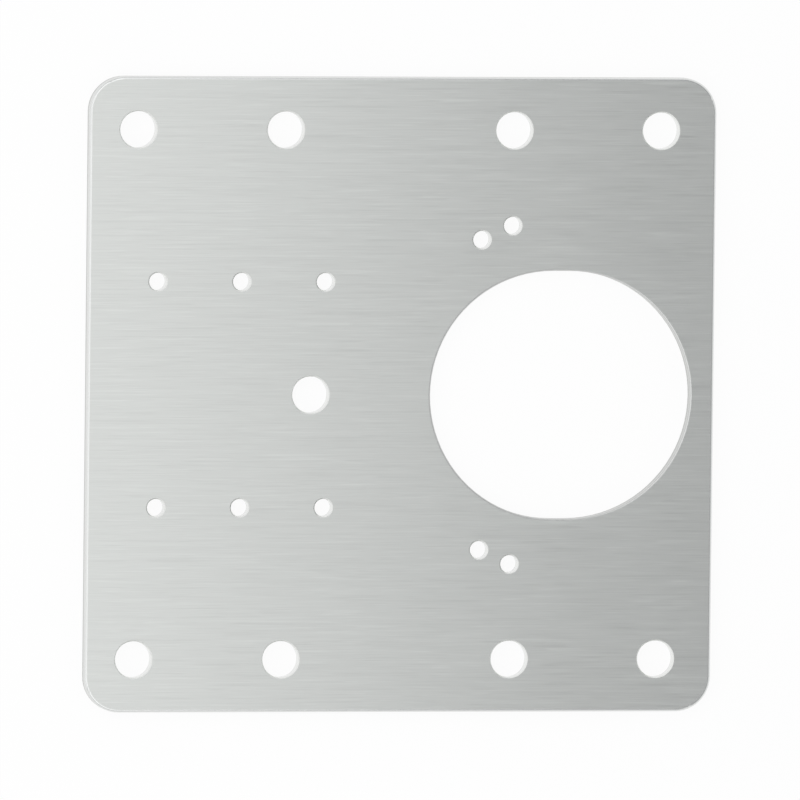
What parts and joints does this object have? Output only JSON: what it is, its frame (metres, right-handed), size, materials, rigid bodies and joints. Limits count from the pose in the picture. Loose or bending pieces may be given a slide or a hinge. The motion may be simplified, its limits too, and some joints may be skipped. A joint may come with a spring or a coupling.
{
  "type": "hinge repair plate",
  "caption": "Flat square steel plate with rounded corners, screw holes round its border, and a wide opening beside pilot holes for a cabinet hinge.",
  "frame": {"origin": "middle of the plate's outline, on its back face", "axes": "+Z out of the brushed front face; +X from the mounting plate's side to the hinge cup's side; +Y up along the rows"},
  "size_m": [0.09, 0.09, 0.002],
  "materials": {
    "stainless_sheet": "front brushed in fine straight lines along X, cut edges bare and smoother"
  },
  "bodies": {
    "root": {"hinge_plate": "stainless_sheet"}
  },
  "joints": []
}
